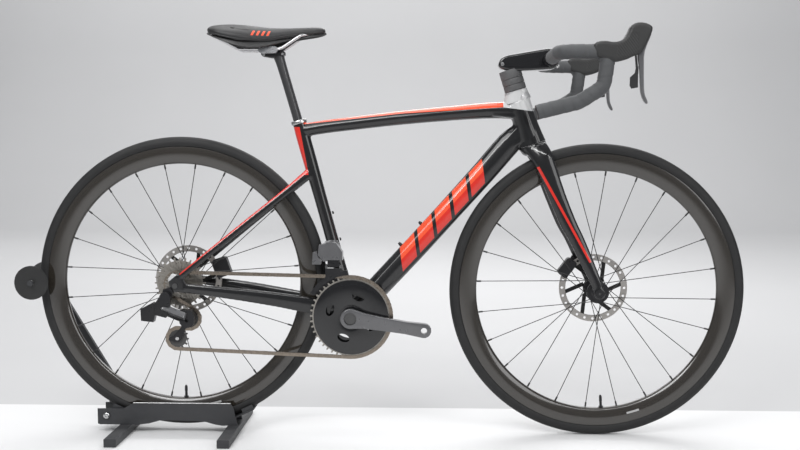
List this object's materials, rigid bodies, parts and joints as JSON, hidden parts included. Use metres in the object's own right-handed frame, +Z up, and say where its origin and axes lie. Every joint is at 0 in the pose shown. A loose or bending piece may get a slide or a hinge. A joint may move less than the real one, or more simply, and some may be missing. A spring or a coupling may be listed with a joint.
{
  "type": "road bicycle on a wheel stand",
  "caption": "Drop-bar road bicycle with disc brakes and electronic derailleurs, held upright by a rear-wheel display stand with a roller arm.",
  "frame": {"origin": "on the floor, under the middle of the bounding box of the bicycle and its stand", "axes": "+X forward, +Y to the bicycle's left side (drive side at negative Y), +Z up"},
  "size_m": [1.687, 0.443, 0.9501],
  "materials": {
    "carbon": "gloss black",
    "rim_carbon": "gloss black with a warm sheen",
    "tyre": "matte",
    "spoke": "satin black",
    "dark_alloy": "satin anodised",
    "grey_alloy": "satin",
    "silver_alloy": "bright anodised",
    "rotor_steel": "brushed braking band on a black carrier",
    "chain_steel": "polished, slightly oiled",
    "axle_steel": "satin",
    "rail_steel": "satin",
    "saddle_cover": "matte",
    "shell": "matte",
    "tape": "matte with wrap seams",
    "hood": "matte",
    "lever": "satin dark",
    "pad": "matte",
    "pulley": "satin",
    "stand_steel": "matte powder coat",
    "roller": "satin"
  },
  "bodies": {
    "frame": {"head_tube": "carbon", "down_tube": "carbon", "seat_tube": "carbon", "top_tube": "carbon", "bottom_bracket_shell": "carbon", "chainstays": "carbon", "seatstays": "carbon", "seatpost": "carbon", "saddle_pad": "saddle_cover", "saddle_base": "shell", "saddle_rails": "rail_steel", "rear_axle": "axle_steel", "rear_caliper": "grey_alloy", "derailleur_upper_knuckle": "grey_alloy", "front_derailleur_body": "grey_alloy", "chain": "chain_steel", "stand_cradle": "stand_steel", "stand_feet": "stand_steel"},
    "steering": {"fork": "carbon", "stem": "dark_alloy", "headset_spacers": "shell", "handlebar": "dark_alloy", "bar_tape": "tape", "lever_hoods": "hood", "front_caliper": "grey_alloy", "front_axle": "axle_steel"},
    "front_wheel": {"front_tyre": "tyre", "front_rim": "rim_carbon", "front_spokes": "spoke", "front_hub": "dark_alloy", "front_rotor": "rotor_steel"},
    "rear_wheel": {"rear_tyre": "tyre", "rear_rim": "rim_carbon", "rear_spokes": "spoke", "rear_hub": "dark_alloy", "rear_rotor": "rotor_steel"},
    "crankset": {"crank_spindle": "axle_steel", "crank_arm_right": "grey_alloy", "crank_arm_left": "grey_alloy", "chainring_spider": "dark_alloy", "outer_chainring": "silver_alloy"},
    "cassette": {"cassette": "chain_steel"},
    "lever_left": {"brake_lever_left": "lever"},
    "lever_right": {"brake_lever_right": "lever"},
    "paddle_left": {"shift_paddle_left": "shell"},
    "paddle_right": {"shift_paddle_right": "shell"},
    "front_pad_left": {"front_pad_left": "pad"},
    "front_pad_right": {"front_pad_right": "pad"},
    "rear_pad_left": {"rear_pad_left": "pad"},
    "rear_pad_right": {"rear_pad_right": "pad"},
    "rear_derailleur_outer_link": {"derailleur_outer_link": "grey_alloy"},
    "rear_derailleur_inner_link": {"derailleur_inner_link": "dark_alloy"},
    "rear_derailleur_knuckle": {"derailleur_lower_knuckle": "grey_alloy"},
    "rear_derailleur_cage": {"derailleur_cage": "dark_alloy"},
    "guide_pulley": {"guide_pulley": "pulley"},
    "tension_pulley": {"tension_pulley": "pulley"},
    "front_derailleur_link": {"front_derailleur_link": "dark_alloy"},
    "front_derailleur_cage": {"front_derailleur_cage": "dark_alloy"},
    "stand_arm": {"stand_arm": "stand_steel"},
    "stand_roller": {"stand_roller": "roller"}
  },
  "joints": [
    {"name": "steering_turn", "type": "hinge", "parent": "frame", "child": "steering", "pos_m": [0.353, 0, 0.6764], "axis": [-0.2955, 0, 0.9553], "range_deg": [-60, 60]},
    {"name": "front_wheel_spin", "type": "hinge", "parent": "steering", "child": "front_wheel", "pos_m": [0.504, 0, 0.339], "axis": [0, 1, 0], "continuous": true},
    {"name": "rear_wheel_spin", "type": "hinge", "parent": "frame", "child": "rear_wheel", "pos_m": [-0.46, 0, 0.355], "axis": [0, 1, 0], "continuous": true},
    {"name": "crank_spin", "type": "hinge", "parent": "frame", "child": "crankset", "pos_m": [-0.061, 0, 0.2805], "axis": [0, 1, 0], "continuous": true, "deforming": ["chain"]},
    {"name": "cassette_spin", "type": "hinge", "parent": "frame", "child": "cassette", "pos_m": [-0.46, 0, 0.355], "axis": [0, 1, 0], "continuous": true},
    {"name": "brake_lever_left_pull", "type": "hinge", "parent": "steering", "child": "lever_left", "pos_m": [0.561, 0.205, 0.897], "axis": [0, 1, 0], "range_deg": [0, 14], "stiffness_Nm_per_rad": 0.8, "springref_deg": -8.59},
    {"name": "shift_paddle_left_press", "type": "hinge", "parent": "lever_left", "child": "paddle_left", "pos_m": [0.5505, 0.203, 0.83], "axis": [0, 0, 1], "range_deg": [0, 8], "stiffness_Nm_per_rad": 0.1, "springref_deg": -5.73},
    {"name": "brake_lever_right_pull", "type": "hinge", "parent": "steering", "child": "lever_right", "pos_m": [0.561, -0.205, 0.897], "axis": [0, 1, 0], "range_deg": [0, 14], "stiffness_Nm_per_rad": 0.8, "springref_deg": -8.59},
    {"name": "shift_paddle_right_press", "type": "hinge", "parent": "lever_right", "child": "paddle_right", "pos_m": [0.5505, -0.203, 0.83], "axis": [0, 0, -1], "range_deg": [0, 8], "stiffness_Nm_per_rad": 0.1, "springref_deg": -5.73},
    {"name": "front_pad_left_slide", "type": "slide", "parent": "steering", "child": "front_pad_left", "axis": [0, -1, 0], "range_m": [0, 0.00035]},
    {"name": "front_pad_right_slide", "type": "slide", "parent": "steering", "child": "front_pad_right", "axis": [0, 1, 0], "range_m": [0, 0.00035]},
    {"name": "rear_pad_left_slide", "type": "slide", "parent": "frame", "child": "rear_pad_left", "axis": [0, -1, 0], "range_m": [0, 0.00035]},
    {"name": "rear_pad_right_slide", "type": "slide", "parent": "frame", "child": "rear_pad_right", "axis": [0, 1, 0], "range_m": [0, 0.00035]},
    {"name": "derailleur_outer_link_swing", "type": "hinge", "parent": "frame", "child": "rear_derailleur_outer_link", "pos_m": [-0.484, -0.086, 0.306], "axis": [0.2603, 0.6457, 0.7178], "range_deg": [-19, 36]},
    {"name": "derailleur_inner_link_swing", "type": "hinge", "parent": "frame", "child": "rear_derailleur_inner_link", "pos_m": [-0.48847, -0.07459, 0.29735], "axis": [0.2603, 0.6457, 0.7178], "range_deg": [-19, 36]},
    {"name": "derailleur_knuckle_swing", "type": "hinge", "parent": "rear_derailleur_outer_link", "child": "rear_derailleur_knuckle", "pos_m": [-0.43992, -0.08293, 0.28726], "axis": [0.2603, 0.6457, 0.7178], "range_deg": [-36, 19]},
    {"name": "derailleur_cage_swing", "type": "hinge", "parent": "rear_derailleur_knuckle", "child": "rear_derailleur_cage", "pos_m": [-0.4335, -0.0523, 0.276], "axis": [0, 1, 0], "range_deg": [-20, 15], "stiffness_Nm_per_rad": 0.3},
    {"name": "guide_pulley_spin", "type": "hinge", "parent": "rear_derailleur_cage", "child": "guide_pulley", "pos_m": [-0.4335, -0.0523, 0.276], "axis": [0, 1, 0], "continuous": true},
    {"name": "tension_pulley_spin", "type": "hinge", "parent": "rear_derailleur_cage", "child": "tension_pulley", "pos_m": [-0.46174, -0.0523, 0.22997], "axis": [0, 1, 0], "continuous": true},
    {"name": "front_derailleur_link_swing", "type": "hinge", "parent": "frame", "child": "front_derailleur_link", "pos_m": [-0.101, -0.04225, 0.4283], "axis": [1, 0, 0], "range_deg": [0, 14.4]},
    {"name": "front_derailleur_cage_swing", "type": "hinge", "parent": "front_derailleur_link", "child": "front_derailleur_cage", "pos_m": [-0.101, -0.046, 0.3986], "axis": [1, 0, 0], "range_deg": [-14.4, 0]},
    {"name": "stand_arm_fold", "type": "hinge", "parent": "frame", "child": "stand_arm", "pos_m": [-0.639, 0.052, 0.041], "axis": [0, 1, 0], "range_deg": [-55, 0]},
    {"name": "stand_roller_spin", "type": "hinge", "parent": "stand_arm", "child": "stand_roller", "pos_m": [-0.8045, 0, 0.356], "axis": [0, 1, 0], "continuous": true}
  ],
  "couplings": [
    {"joint": "cassette_spin", "follows": "crank_spin", "ratio": 3.2857},
    {"joint": "guide_pulley_spin", "follows": "crank_spin", "ratio": -3.8333},
    {"joint": "tension_pulley_spin", "follows": "crank_spin", "ratio": 3.8333},
    {"joint": "derailleur_inner_link_swing", "follows": "derailleur_outer_link_swing", "ratio": 1},
    {"joint": "derailleur_knuckle_swing", "follows": "derailleur_outer_link_swing", "ratio": -1},
    {"joint": "front_derailleur_cage_swing", "follows": "front_derailleur_link_swing", "ratio": -1},
    {"joint": "front_pad_left_slide", "follows": "brake_lever_left_pull", "m_per_rad": 0.001431},
    {"joint": "front_pad_right_slide", "follows": "brake_lever_left_pull", "m_per_rad": 0.001431},
    {"joint": "rear_pad_left_slide", "follows": "brake_lever_right_pull", "m_per_rad": 0.001431},
    {"joint": "rear_pad_right_slide", "follows": "brake_lever_right_pull", "m_per_rad": 0.001431}
  ]
}
